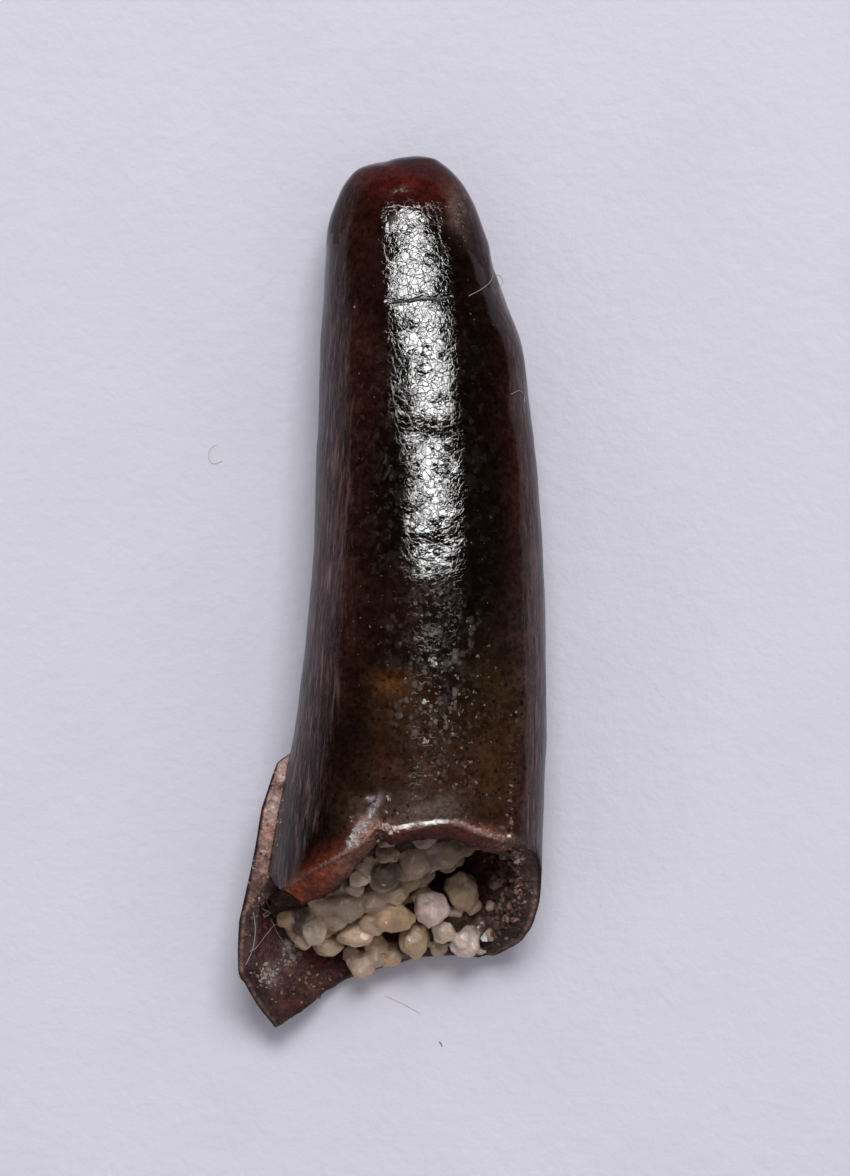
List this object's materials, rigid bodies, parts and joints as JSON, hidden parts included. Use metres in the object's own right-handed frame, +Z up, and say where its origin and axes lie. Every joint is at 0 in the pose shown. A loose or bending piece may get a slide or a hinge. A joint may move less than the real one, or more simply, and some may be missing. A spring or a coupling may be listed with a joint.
{
  "type": "fossil pterosaur tooth",
  "caption": "Blunt conical fossil reptile tooth with glossy dark brown enamel, lying on its side, its broken hollow base plugged with pale cemented sand.",
  "frame": {"origin": "middle of the tooth's box, on the level that it rests on", "axes": "+Y along the crown to its tip, +Z up from the side that it rests on, +X to the right seen from above with the tip away"},
  "size_m": [0.007, 0.02, 0.0048],
  "materials": {
    "enamel": "gloss",
    "sand": "satin"
  },
  "bodies": {
    "root": {"tooth": "enamel", "sand_plug": "sand", "sand_cluster": "sand"}
  },
  "joints": []
}
